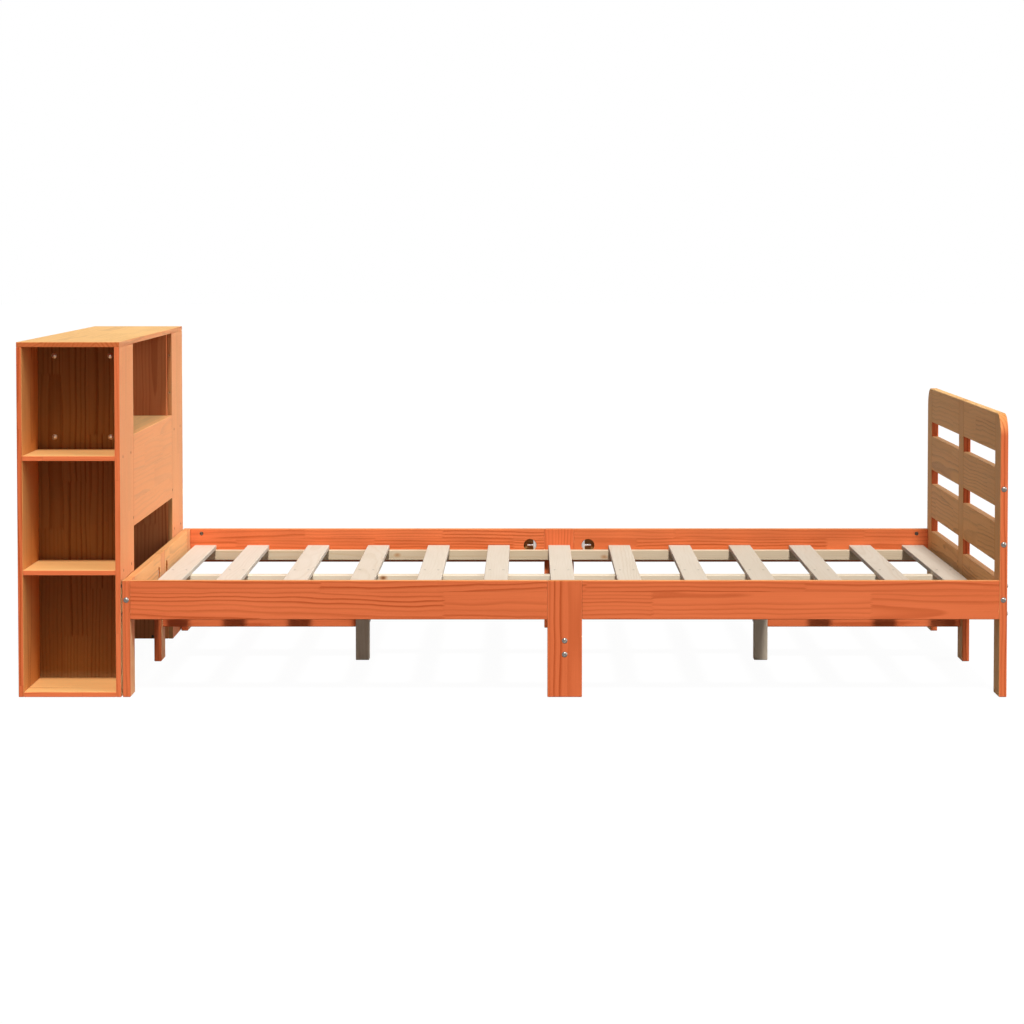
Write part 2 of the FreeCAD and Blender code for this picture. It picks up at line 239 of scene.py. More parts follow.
# Knots in the wood without stain, each a point on a board's face
NO_KNOT = np.array([-9.0, -9.0, -9.0])
KNOTS = {
    "right_batten_head": np.array([-0.320, 0.575, 0.201]),
    "right_batten_foot": np.array([0.241, 0.575, 0.196]),
    "centre_beam_head": np.array([-0.329, -0.017, 0.207]),
}
KNOT_RADIUS = 0.010
KNOT_STRETCH = 0.65
KNOT_BEND = 0.004

# Rim and core of a knot: colour, the shares of the radius where it starts and stops to fade, and strength
KNOT_FADES = (
    ((0.480, 0.220, 0.080, 1), 0.3, 1.0, 0.75),
    ((0.200, 0.070, 0.025, 1), 0.1, 0.55, 0.9),
)

# Metal and dowels: scale of their noise along each axis, relief, and the share of zinc's colour in a spot
ZINC_GRAIN = (900.0, 900.0, 900.0)
ZINC_SPOTS = (240.0, 240.0, 240.0)
ZINC_RELIEF = (0.15, 0.0001)
ZINC_DULLED = 0.72
SCREW_DUST = (400.0, 400.0, 400.0)
SCREW_RELIEF = (0.2, 0.0001)
DOWEL_FIBRE = (300.0, 60.0, 300.0)

# Light: where a lamp stands, what a white face turned to it would show, and its width in degrees
FRONT_KEY = ((0.045, -0.80, 1), 1.12, 7)
RIGHT_FILL = ((1, -0.06, 0.18), 1.08, 80)
AMBIENT = 0.215
WHITE = (1, 1, 1, 1)
FLOOR_REACH = 40.0
FLOOR_BOUNCE = (0.16, 0.16, 0.16, 1)
FLOOR_IN_LIGHT = (0.04, 0.04, 0.04, 1)
FLOOR_GLOW = 0.965

# Camera, at the photograph's place
CAMERA_PLACE = (0.03265, -7.422, 1.057)
CAMERA_TILT = math.radians(2.645)
FOCAL_PIXELS = 2965.0
AXIS_PIXEL = (527.4, 375.7)
PICTURE_PIXELS = 1024.0
SENSOR_WIDTH = 36.0

draws = np.random.default_rng(11)


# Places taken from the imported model

def span(node):
    """Lowest and highest corner of a node, as arrays."""
    low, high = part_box(node)
    return np.array(low), np.array(high)


head_low, head_high = span("centre_head_leg")
foot_low, foot_high = span("foot_divider")
side_low, side_high = span("right_mid_leg")
post_low, post_high = span("foot_post")
cross_low, cross_high = span("cross_beam")
rail_low, rail_high = span("right_rail_foot_half")
wall_low, wall_high = span("right_tower_bed_wall")
back_low, back_high = span("right_tower_back")
shelf_high = span("mid_shelf")[1]

board = head_high[0] - head_low[0]
leg_width = side_high[0] - side_low[0]
bed_middle = (side_low[0] + side_high[0]) / 2
side_outer = side_high[1]
side_inner = side_low[1]
side_line = (side_outer + side_inner) / 2
head_line = (head_low[0] + head_high[0]) / 2
foot_line = (foot_low[0] + foot_high[0]) / 2
rail_line = (rail_low[2] + rail_high[2]) / 2
stretcher_line = (cross_low[2] + cross_high[2]) / 2
post_side = post_high[0] - post_low[0]
case_board = wall_high[0] - wall_low[0]


# Surfaces

@dataclass
class Board:
    """A board with rounded edges between two corners.

    sweep is the axis that its section is carried along, grain the axis of the wood, and radii
    the section's four corner radii, counted round from the corner at the two high sides.
    """
    low: np.ndarray
    high: np.ndarray
    grain: int
    sweep: int
    arris: float
    radii: tuple
    steps: int = ARRIS_STEPS


def plain_board(low, high, grain, arris):
    """Board of rectangular section with all edges rounded alike."""
    return Board(np.array(low), np.array(high), grain, grain, arris, (arris,) * 4)


def corner_centres(shape):
    """Centres of the section's four corner arcs, and the section's two axes."""
    b = (shape.sweep + 1) % 3
    c = (shape.sweep + 2) % 3
    radii = np.array(shape.radii)
    high_b = np.array([True, False, False, True])
    high_c = np.array([True, True, False, False])
    centre_b = np.where(high_b, shape.high[b] - radii, shape.low[b] + radii)
    centre_c = np.where(high_c, shape.high[c] - radii, shape.low[c] + radii)
    return b, c, centre_b, centre_c


def board_surface(shape):
    """Points and faces of a board: a section with four corner arcs, carried from end to end.

    A point is its corner's centre, plus (corner radius - arris + arris cos t) along the arc's normal;
    t goes from -90 to 0 degrees at one end and from 0 to 90 at the other, and the place along the
    sweep moves by arris sin t, so each end edge is a quarter circle too.
    """
    b, c, centre_b, centre_c = corner_centres(shape)
    turn = np.linspace(0, np.pi / 2, shape.steps + 1)
    corner = np.repeat(np.arange(4), len(turn))
    angle = corner * np.pi / 2 + np.tile(turn, 4)
    tilt = np.concatenate([turn - np.pi / 2, turn])
    ends = np.repeat([shape.low[shape.sweep] + shape.arris, shape.high[shape.sweep] - shape.arris], len(turn))
    reach = (np.array(shape.radii)[corner] - shape.arris) + shape.arris * np.cos(tilt)[:, None]
    points = np.empty((len(tilt), len(angle), 3))
    points[:, :, shape.sweep] = (ends + shape.arris * np.sin(tilt))[:, None]
    points[:, :, b] = centre_b[corner] + reach * np.cos(angle)
    points[:, :, c] = centre_c[corner] + reach * np.sin(angle)
    index = np.arange(len(tilt) * len(angle)).reshape(len(tilt), len(angle))
    faces = quads(index, True).tolist()
    faces.append(index[0, ::-1].tolist())
    faces.append(index[-1].tolist())
    return points.reshape(-1, 3), faces


def quads(index, closed):
    """Faces between neighbouring rows and columns of a grid of point numbers."""
    beside = np.roll(index, -1, axis=1) if closed else index[:, 1:]
    first = index if closed else index[:, :-1]
    return np.stack([first[:-1], beside[:-1], beside[1:], first[1:]], axis=-1).reshape(-1, 4)


def nearest_core(shape, points):
    """Nearest point of the board drawn in by its arris, for each point."""
    core = np.clip(points, shape.low + shape.arris, shape.high - shape.arris)
    b, c, centre_b, centre_c = corner_centres(shape)
    signs = ((1, 1), (-1, 1), (-1, -1), (1, -1))
    for radius, at_b, at_c, (sign_b, sign_c) in zip(shape.radii, centre_b, centre_c, signs):
        out_b = (points[:, b] - at_b) * sign_b
        out_c = (points[:, c] - at_c) * sign_c
        away = np.hypot(out_b, out_c)
        shrink = np.minimum(1, (radius - shape.arris) / np.maximum(away, TINY))
        corner = (out_b > 0) & (out_c > 0)
        core[corner, b] = at_b + sign_b * (out_b * shrink)[corner]
        core[corner, c] = at_c + sign_c * (out_c * shrink)[corner]
    return core


def circle(steps):
    """Angles of equal steps round a circle."""
    return np.arange(steps) * 2 * np.pi / steps


def rings(radius, height):
    """Points and faces of a turned shape: rows of points round Z, one row for each radius and height.

    radius and height have a value for each row and each step round; a row of radius zero is a pole.
    """
    rows, steps = np.broadcast(radius, height).shape
    angle = circle(steps)
    points = np.empty((rows, steps, 3))
    points[:, :, 0] = radius * np.cos(angle)
    points[:, :, 1] = radius * np.sin(angle)
    points[:, :, 2] = height
    return points.reshape(-1, 3), quads(np.arange(rows * steps).reshape(rows, steps), True)


def turned(radius, height):
    """Turned shape whose rows come from the top down."""
    points, faces = rings(radius, height)
    return points, faces[:, ::-1]


def facing(direction):
    """Turn that carries Z to a direction along an axis, as a matrix."""
    direction = np.asarray(direction, float)
    across = X if abs(direction[0]) < 0.5 else Y
    return np.column_stack([across, np.cross(direction, across), direction])


def joined(shapes):
    """Several shapes as one: the faces of each count on from the points before it."""
    counts = np.cumsum([0] + [len(points) for points, _ in shapes])
    faces = [face for (_, own), shift in zip(shapes, counts) for face in (own + shift).tolist()]
    return np.concatenate([points for points, _ in shapes]), faces


def placed(points, faces, origin, direction):
    """A shape moved to a point, with its Z turned to a direction."""
    return points @ facing(direction).T + origin, faces


def repeated(points, faces, places):
    """One shape at many places, each given by its point and the direction that its Z takes."""
    return joined([placed(points, faces, *place) for place in places])


# Pieces

def new_piece(name, points, faces, finish, slot, node):
    """Object with a welded mesh that rides on the bed and stands for a node, where there is one."""
    mesh = bpy.data.meshes.new(name)
    mesh.from_pydata(points.tolist(), [], faces)
    weld(mesh)
    piece = bpy.data.objects.new(name, mesh)
    bpy.context.scene.collection.objects.link(piece)
    mesh.materials.append(finish)
    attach(piece, "root")
    if node:
        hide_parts(node)
    return piece


def weld(mesh):
    """Merges points that fall together, which closes seams and poles."""
    work = bmesh.new()
    work.from_mesh(mesh)
    bmesh.ops.remove_doubles(work, verts=work.verts, dist=WELD_DISTANCE)
    work.to_mesh(mesh)
    work.free()


def values(items, name, width, kind=np.float32):
    """One property of many mesh items as an array."""
    found = np.empty(len(items) * width, kind)
    items.foreach_get(name, found)
    return found.reshape(-1, width) if width > 1 else found


def drill(piece, holes):
    """Cuts round holes into a piece; each has a mouth, a direction inwards, a radius and a depth."""
    points, faces = joined([hole_surface(*hole) for hole in holes])
    cutter_mesh = bpy.data.meshes.new("drill")
    cutter_mesh.from_pydata(points.tolist(), [], faces)
    weld(cutter_mesh)
    cutter = bpy.data.objects.new("drill", cutter_mesh)
    bpy.context.scene.collection.objects.link(cutter)
    cut = piece.modifiers.new("holes", "BOOLEAN")
    cut.operation = "DIFFERENCE"
    cut.solver = "EXACT"
    cut.object = cutter
    graph = bpy.context.evaluated_depsgraph_get()
    finished = bpy.data.meshes.new_from_object(piece.evaluated_get(graph))
    piece.modifiers.remove(cut)
    plain = piece.data
    piece.data = finished
    finished.name = piece.name
    bpy.data.meshes.remove(plain)
    bpy.data.objects.remove(cutter)
    bpy.data.meshes.remove(cutter_mesh)


def hole_surface(mouth, inward, radius, depth):
    """Closed cylinder round a hole's axis, which starts a little outside the mouth."""
    steps = POCKET_STEPS if radius == POCKET_RADIUS else HOLE_STEPS
    radius_rows = np.array([0, radius, radius, 0])[:, None] * np.ones(steps)
    height_rows = np.array([-DRILL_SPARE, -DRILL_SPARE, depth, depth])[:, None] * np.ones(steps)
    return placed(*rings(radius_rows, height_rows), mouth, inward)


def wooden(name, shape, finish, slot, node, stave=SINGLE_STAVE, tone=0.0, holes=(), laps=None,
           painted_light_and_shade=NO_PAINTED_LIGHT):
    """One board: its surface, its holes, the normals of its rounded edges and its wood's coordinates."""
    piece = new_piece(name, *board_surface(shape), finish, slot, node)
    if holes:
        drill(piece, holes)
    mesh = piece.data
    points = values(mesh.vertices, "co", 3)
    outward = points - nearest_core(shape, points)
    length = np.linalg.norm(outward, axis=1)
    outward /= np.maximum(length, TINY)[:, None]
    round_normals(mesh, shape, outward)
    across, deep = sorted((axis for axis in range(3) if axis != shape.grain),
                          key=lambda axis: shape.low[axis] - shape.high[axis])
    order = [shape.grain, across, deep]
    store(mesh, "grain", (points - shape.low)[:, order])
    seed = draws.uniform(*LOG_NUMBERS)
    store(mesh, "log", (seed, stave, tone))
    spacing = draws.uniform(*LAP_SPACINGS)
    chance = (draws.uniform(0, spacing), spacing, draws.uniform(*LAP_SHIFTS))
    if laps is None:
        laps = NO_LAPS if stave == SINGLE_STAVE else chance
    store(mesh, "laps", laps)
    crest = (1 - np.abs(outward).max(axis=1)) / (1 - math.sqrt(0.5))
    solid = length > shape.arris / 2
    end = np.abs(outward[:, shape.grain])
    # Painted light and shade: each face gets its painted light (golden) and painted shade (brown) by which
    # way it is turned, and the inside of a hole gets painted shade
    turned = sum(change * np.maximum(outward @ direction, 0) for change, direction in painted_light_and_shade)
    store(mesh, "wear_and_painted_light", np.column_stack([crest * solid, end * solid, np.where(solid, turned, HOLE_PAINTED_SHADE)]))
    store(mesh, "cut", CUTS.get(name, PLAIN_CUT))
    store(mesh, "knot", (KNOTS.get(name, NO_KNOT) - shape.low)[order])
    return piece


def round_normals(mesh, shape, outward):
    """Normals from the drawn-in board out to the surface; faces inside a hole keep their own."""
    mesh.shade_smooth()
    corner = values(mesh.loops, "vertex_index", 1, np.int32)
    face = np.repeat(np.arange(len(mesh.polygons)), values(mesh.polygons, "loop_total", 1, np.int32))
    centres = values(mesh.polygons, "center", 3)
    depth = np.linalg.norm(centres - nearest_core(shape, centres), axis=1)
    inside = (depth < shape.arris / 2)[face]
    flat = values(mesh.polygons, "normal", 3)[face]
    mesh.normals_split_custom_set(np.where(inside[:, None], flat, outward[corner]).tolist())


def store(mesh, name, vectors):
    """Keeps a vector for each point of a mesh, or one for all of them, for its material to read."""
    attribute = mesh.attributes.new(name, "FLOAT_VECTOR", "POINT")
    every = np.broadcast_to(np.array(vectors, np.float32), (len(mesh.vertices), 3))
    attribute.data.foreach_set("vector", every.ravel())


def metal(name, points, faces, finish, node, crease=CREASE):
    """Metal piece, smooth apart from its creases."""
    piece = new_piece(name, points, faces, finish, "zinc_steel", node)
    piece.data.shade_smooth()
    piece.data.set_sharp_from_angle(angle=math.radians(crease))
    return piece


# Materials

class Graph:
    """Short words for the nodes of one material or world."""

    def __init__(self, owner):
        owner.use_nodes = True
        self.owner = owner
        self.tree = owner.node_tree

    def feed(self, socket, value):
        """Links a socket to an output, or sets it to a constant."""
        if isinstance(value, bpy.types.NodeSocket):
            self.tree.links.new(value, socket)
        else:
            socket.default_value = value

    def fill(self, made, inputs):
        """Feeds sockets of a node by their names."""
        for name, value in inputs.items():
            self.feed(made.inputs[name], value)

    def surface(self, inputs):
        """Feeds sockets of the material's shader by their names."""
        self.fill(self.tree.nodes["Principled BSDF"], inputs)

    def node(self, kind, *inputs, **settings):
        """New node with its settings, and its first sockets fed."""
        made = self.tree.nodes.new(kind)
        for key, value in settings.items():
            setattr(made, key, value)
        for socket, value in zip(made.inputs, inputs):
            self.feed(socket, value)
        return made

    def math(self, operation, *inputs):
        """A function of one or two numbers."""
        return self.node("ShaderNodeMath", *inputs, operation=operation).outputs[0]

    def add(self, *terms):
        """Sum of all terms."""
        total = terms[0]
        for term in terms[1:]:
            total = self.math("ADD", total, term)
        return total

    def times(self, a, b):
        """Product of two factors."""
        return self.math("MULTIPLY", a, b)

    def smooth(self, value, low, high, start=0.0, stop=1.0):
        """Soft step from start to stop while a value goes from low to high."""
        inputs = (value, low, high, start, stop)
        return self.node("ShaderNodeMapRange", *inputs, interpolation_type="SMOOTHSTEP").outputs[0]

    def vector(self, x, y, z):
        """Vector of three numbers."""
        return self.node("ShaderNodeCombineXYZ", x, y, z).outputs[0]

    def parts(self, vector):
        """The three numbers of a vector."""
        return self.node("ShaderNodeSeparateXYZ", vector).outputs

    def attribute(self, name):
        """The three numbers of a vector that the mesh keeps."""
        return self.parts(self.node("ShaderNodeAttribute", attribute_name=name).outputs["Vector"])

    def noise(self, vector, detail=2.0):
        """Noise about zero."""
        made = self.node("ShaderNodeTexNoise")
        self.fill(made, {"Vector": vector, "Scale": 1.0, "Detail": detail, "Roughness": 0.5})
        return self.math("SUBTRACT", made.outputs["Fac"], 0.5)

    def grit(self, scales, detail):
        """Noise in the piece's own space, with a scale for each axis."""
        place = self.parts(self.node("ShaderNodeTexCoord").outputs["Object"])
        return self.noise(self.vector(*(self.times(*pair) for pair in zip(place, scales))), detail)

    def chance(self, x, y, z):
        """Four random numbers that stay the same for the same three inputs."""
        made = self.node("ShaderNodeTexWhiteNoise", self.vector(x, y, z), noise_dimensions="3D")
        return (*self.parts(made.outputs["Color"]), made.outputs["Value"])

    def blend(self, factor, first, second, way="MIX"):
        """Colour between two; of the node's sockets of several kinds, the colour ones are picked."""
        made = self.node("ShaderNodeMix", data_type="RGBA", blend_type=way)
        inputs = [socket for socket in made.inputs if socket.type == "RGBA"]
        for socket, value in zip((made.inputs[0], *inputs), (factor, first, second)):
            self.feed(socket, value)
        return next(socket for socket in made.outputs if socket.type == "RGBA")

    def relief(self, height, strength, distance):
        """Fine relief in the shading, from a height."""
        made = self.node("ShaderNodeBump")
        self.fill(made, {"Strength": strength, "Distance": distance, "Height": height})
        self.surface({"Normal": made.outputs["Normal"]})

    def seen(self):
        """1 for what the camera sees directly or in gloss, and 0 for light between things."""
        path = self.node("ShaderNodeLightPath").outputs
        in_gloss = self.math("MAXIMUM", path["Is Glossy Ray"], path["Is Transmission Ray"])
        return self.math("MAXIMUM", path["Is Camera Ray"], in_gloss)


def pine(name, pale, dark, joint, worn, roughness, figure, ring, pith):
    """Pine cut from a log: rings of early and late wood round a pith line under the board.

    The distance from the pith, swayed by slow noise, divided by the ring's width counts the years.
    Each year darkens slowly and ends sharply. Staves and finger-jointed lengths each come from
    another log, fine fibres run along the grain, and a knot darkens the wood round its point.
    ring is the width of a year, and pith the pith's least depth and what chance adds to it.
    """
    g = Graph(bpy.data.materials.new(name))
    along, across, deep = g.attribute("grain")
    seed, stave, tone = g.attribute("log")
    first_lap, lap_spacing, lap_shift = g.attribute("laps")
    # Edge wear, end grain, and the painted light (below zero) and painted shade (above zero) of each point
    crest, end, painted_light_and_shade = g.attribute("wear_and_painted_light")
    vivid, calm, spread = g.attribute("cut")

    def drawn_out(drift, detail=2.0):
        """Noise drawn out along the grain, which starts elsewhere in each log."""
        along_scale, across_scale, shift = drift
        start = g.add(g.times(along, along_scale), g.times(seed, shift))
        return g.noise(g.vector(start, g.times(across, across_scale), g.times(deep, across_scale)), detail)

    place = g.math("DIVIDE", g.add(across, STAVE_START), stave)
    row = g.math("FLOOR", place)
    finger = g.times(g.math("PINGPONG", across, FINGER_PITCH), FINGER_SLANT)
    shifted = g.add(along, finger, g.times(first_lap, -1.0), g.times(g.times(row, lap_shift), -1.0))
    step = g.math("DIVIDE", shifted, lap_spacing)
    lap = g.math("FLOOR", step)
    pick_across, pick_depth, pick_slope, pick_tone = g.chance(seed, row, lap)

    sway = drawn_out(SWAY)
    ripple = drawn_out(RIPPLE)
    lift_along, lift_across, lift_shift = LIFT
    lift_side = g.add(g.times(seed, lift_shift), g.times(across, lift_across))
    lift = g.noise(g.vector(g.times(along, lift_along), lift_side, lap))
    stave_middle = g.times(g.add(row, 0.5), g.math("MINIMUM", stave, WIDEST_STAVE))
    side = g.add(
        across, g.times(stave_middle, -1.0), g.times(g.add(pick_across, -0.5), g.times(spread, PITH_SPREAD)),
        g.times(g.times(sway, calm), SWAY_REACH), g.times(g.times(ripple, calm), RIPPLE_REACH),
    )
    slope = g.times(g.times(g.add(pick_slope, -0.5), PITH_SLOPE), along)
    below = g.add(deep, pith[0], g.times(pick_depth, pith[1]), slope, g.times(lift, LIFT_REACH))
    distance = g.math("SQRT", g.add(g.times(side, side), g.times(below, below)))
    years = g.math("DIVIDE", distance, ring)
    year = g.math("FLOOR", years)
    season = g.math("FRACT", years)
    late = g.times(g.smooth(season, *LATE_WOOD), g.smooth(season, *YEAR_END, 1.0, 0.0))
    vigour = g.chance(year, seed, 5.0)[3]
    late = g.times(late, g.add(YEAR_STRENGTH[0], g.times(vigour, YEAR_STRENGTH[1])))

    fibre = drawn_out(FIBRE, 3.0)
    cloud = drawn_out(CLOUD)
    strength = g.add(LOG_STRENGTH[0], g.times(pick_tone, LOG_STRENGTH[1]))
    shade = g.add(
        g.times(late, g.times(g.times(strength, vivid), figure)),
        g.times(fibre, FIBRE_SHADE), g.times(cloud, CLOUD_SHADE),
        g.times(g.add(pick_depth, -0.5), LOG_SHADE), tone, g.times(end, END_SHADE), BASE_SHADE,
    )
    colour = g.blend(g.math("MAXIMUM", g.math("MINIMUM", shade, 1.0), 0.0), pale, dark)
    # Painted shade turns the colour brown and painted light turns it golden, as much as the mesh marks at
    # each point
    colour = g.blend(g.math("MAXIMUM", painted_light_and_shade, 0.0), colour, PAINTED_SHADE_TINT, "MULTIPLY")
    colour = g.blend(g.math("MAXIMUM", g.times(painted_light_and_shade, -1.0), 0.0), colour, PAINTED_LIGHT_TINT, "MULTIPLY")

    knot_along, knot_across, knot_deep = g.attribute("knot")
    from_knot = g.vector(
        g.times(g.math("SUBTRACT", along, knot_along), KNOT_STRETCH),
        g.math("SUBTRACT", across, knot_across), g.math("SUBTRACT", deep, knot_deep),
    )
    away = g.node("ShaderNodeVectorMath", from_knot, operation="LENGTH").outputs["Value"]
    bent = g.add(away, g.times(ripple, KNOT_BEND))
    for tint, inner, outer, most in KNOT_FADES:
        colour = g.blend(g.smooth(bent, inner * KNOT_RADIUS, outer * KNOT_RADIUS, most, 0.0), colour, tint)

    glue = g.smooth(g.math("PINGPONG", place, 0.5), 0.0, g.math("DIVIDE", GLUE_LINE, stave), 1.0, 0.0)
    butt = g.smooth(g.math("PINGPONG", step, 0.5), 0.0, g.math("DIVIDE", BUTT_LINE, lap_spacing), 1.0, 0.0)
    colour = g.blend(g.times(g.math("MAXIMUM", glue, butt), LINE_STRENGTH), colour, joint)
    rub = g.times(crest, g.add(EDGE_WEAR_BASE, g.times(cloud, EDGE_WEAR_PATCHES)))
    colour = g.blend(g.math("MAXIMUM", g.times(rub, EDGE_WEAR), 0.0), colour, worn)
    gloss = g.add(g.times(fibre, FIBRE_GLOSS), g.times(late, LATE_GLOSS), g.times(end, END_GLOSS))
    g.surface({"Base Color": colour, "Roughness": g.add(roughness, gloss)})
    height = g.add(g.times(late, LATE_RELIEF), g.times(fibre, FIBRE_RELIEF), g.times(glue, -1.0))
    g.relief(height, *PINE_RELIEF)
    return g


def zinc(name, colour, roughness):
    """Bright zinc: metal with faint drawn marks and dull spots."""
    g = Graph(bpy.data.materials.new(name))
    grain = g.grit(ZINC_GRAIN, 3.0)
    spots = g.grit(ZINC_SPOTS, 2.0)
    dull = tuple(ZINC_DULLED * channel for channel in colour[:3]) + (1.0,)
    g.surface({
        "Base Color": g.blend(g.smooth(spots, -0.05, 0.25), colour, dull),
        "Metallic": 1.0,
        "Roughness": g.add(roughness, g.times(spots, 0.25), g.times(grain, 0.10)),
    })
    g.relief(grain, *ZINC_RELIEF)
    return g.owner


def blackened_steel():
    """Dark, matt finish of the wood screws, with dusty spots."""
    g = Graph(bpy.data.materials.new("screw_steel"))
    spots = g.grit(SCREW_DUST, 3.0)
    shade = g.smooth(spots, -0.2, 0.3)
    g.surface({
        "Base Color": g.blend(shade, (0.040, 0.030, 0.022, 1), (0.085, 0.065, 0.048, 1)),
        "Roughness": g.add(0.6, g.times(spots, 0.3)),
        "Specular IOR Level": 0.10,
    })
    g.relief(spots, *SCREW_RELIEF)
    return g.owner


def dowel_wood():
    """Pale turned wood of the hidden dowels."""
    g = Graph(bpy.data.materials.new("turned_dowel"))
    fibre = g.grit(DOWEL_FIBRE, 3.0)
    shade = g.smooth(fibre, -0.25, 0.25)
    g.surface({
        "Base Color": g.blend(shade, (0.62, 0.42, 0.22, 1), (0.48, 0.30, 0.14, 1)),
        "Roughness": g.add(0.6, g.times(fibre, 0.2)),
    })
    return g.owner


def lacquered_pine(name, sheen):
    """Stained pine under a thin lacquer; sheen is how strongly it turns golden at low angles."""
    g = pine(
        name, pale=(0.735, 0.172, 0.060, 1), dark=(0.430, 0.0735, 0.019, 1),
        joint=(0.330, 0.060, 0.016, 1), worn=(0.765, 0.230, 0.082, 1),
        roughness=0.50, figure=1.0, ring=0.0080, pith=(0.020, 0.050),
    )
    g.surface({
        "Specular IOR Level": 0.02,
        "Sheen Weight": sheen,
        "Sheen Roughness": SHEEN_ROUGHNESS,
        "Sheen Tint": SHEEN_TINT,
    })
    return g.owner


def raw_pine(name, pale, dark, worn):
    """Pine as planed, without stain."""
    g = pine(
        name, pale=pale, dark=dark, joint=(0.300, 0.130, 0.050, 1), worn=worn,
        roughness=0.65, figure=0.40, ring=0.0045, pith=(0.055, 0.080),
    )
    g.surface({"Specular IOR Level": 0.06})
    return g.owner


stained = lacquered_pine("stained_pine", SHEEN)
matt_stained = lacquered_pine("matt_stained_pine", 0.0)
slat_pine = raw_pine(
    "slat_pine", (0.658, 0.578, 0.478, 1), (0.505, 0.395, 0.268, 1), (0.695, 0.622, 0.535, 1),
)
batten_pine = raw_pine(
    "batten_pine", (0.790, 0.690, 0.545, 1), (0.590, 0.450, 0.285, 1), (0.810, 0.730, 0.610, 1),
)
bright_zinc = zinc("bright_zinc", (0.98, 0.98, 0.97, 1), 0.30)
bolt_steel = zinc("bolt_steel", (0.22, 0.20, 0.18, 1), 0.28)
dull_zinc = zinc("dull_zinc", (0.80, 0.70, 0.56, 1), 0.45)
screw_steel = blackened_steel()


# Joinery: every bolt's seat, direction, grip and the side that its nut's hole opens on

@dataclass
class Bolt:
    """Bolt from a seat through one board into the next, and the barrel nut that it is screwed into."""
    seat: np.ndarray
    into: np.ndarray
    grip: float
    mouth: np.ndarray
    held: str
    crossed: str = ""

    def nut(self):
        return self.seat + self.into * (self.grip + NUT_SETBACK)


def frame_bolts():
    """All bolts of the bed's frame."""
    lifts = (-RAIL_BOLT_SPREAD / 2, RAIL_BOLT_SPREAD / 2)
    low_lifts = (-STRETCHER_BOLT_SPREAD / 2, STRETCHER_BOLT_SPREAD / 2)
    found = []
    for side, sign in SIDES.items():
        seat = np.array([head_line, sign * side_outer, rail_line])
        found.append(Bolt(seat, -sign * Y, leg_width, -X, side + "_head_rail"))
        for end, outer, into in (("head", head_low[0], X), ("foot", foot_high[0], -X)):
            for lift in lifts:
                seat = np.array([outer, sign * side_line, rail_line + lift])
                crossed = side + "_batten" if lift < 0 else ""
                held = side + "_rail_" + end + "_half"
                found.append(Bolt(seat, into, board, -sign * Y, held, crossed))
        for row in FOOT_ROWS[:-1]:
            low, high = span("foot_board_%d" % row)
            seat = np.array([foot_line, sign * side_outer, (low[2] + high[2]) / 2])
            found.append(Bolt(seat, -sign * Y, leg_width, X, "foot_board_%d_%s" % (row, side)))
        for lift in low_lifts:
            seat = np.array([bed_middle, sign * side_outer, stretcher_line + lift])
            found.append(Bolt(seat, -sign * Y, board, X, "cross_beam"))
    for end, sign in ENDS.items():
        low, high = span(end + "_post")
        for lift in low_lifts:
            seat = np.array([high[0] if sign < 0 else low[0], 0, stretcher_line + lift])
            found.append(Bolt(seat, sign * X, post_side, Y, end + "_stretcher"))
    return found


def half_moon_joints():
    """Middle, direction, open side, and the boards on both sides of every half-moon joint."""
    found = [(np.array([head_line, 0, rail_line]), Y, X, ("left_head_rail", "right_head_rail"))]
    for side, sign in SIDES.items():
        middle = np.array([bed_middle, sign * side_line, rail_line])
        found.append((middle, X, -sign * Y, (side + "_rail_head_half", side + "_rail_foot_half")))
    return found


def case_screw_seats():
    """Board, mouth and outward direction of every screw in the bookcase."""
    low, high = span("right_tower_shelves")
    levels = [low[2] + case_board / 2, high[2] - case_board / 2]
    walls = (("bed_wall", wall_high[0], X), ("rear_wall", span("right_tower_rear_wall")[0][0], -X))
    found = []
    for side, sign in SIDES.items():
        for wall, face, outward in walls:
            name = side + "_tower_" + wall
            edge = sign * (back_low[1] + back_high[1]) / 2
            found += [
                (name, np.array([face, sign * (side_outer - inset), level]), outward)
                for level in levels for inset in CASE_SCREW_INSETS
            ]
            found.append((name, np.array([face, edge, BACK_EDGE_SCREW_LEVEL]), outward))
        found += [
            (side + "_tower_back", np.array([x, sign * back_low[1], case_board / 2]), -sign * Y)
            for x in (low[0] + BACK_SCREW_INSET, high[0] - BACK_SCREW_INSET)
        ]
    return found


def slat_screw_seats():
    """Slat, mouth and outward direction of the two screws that hold each slat to the centre beam."""
    found = []
    for name in SLATS:
        low, high = span(name)
        middle = (low[0] + high[0]) / 2
        for shift in (-SLAT_SCREW_SPREAD / 2, SLAT_SCREW_SPREAD / 2):
            found.append((name, np.array([middle + shift, 0, high[2]]), Z))
    return found


bolts = frame_bolts()
joints = half_moon_joints()
case_seats = case_screw_seats()
slat_seats = slat_screw_seats()


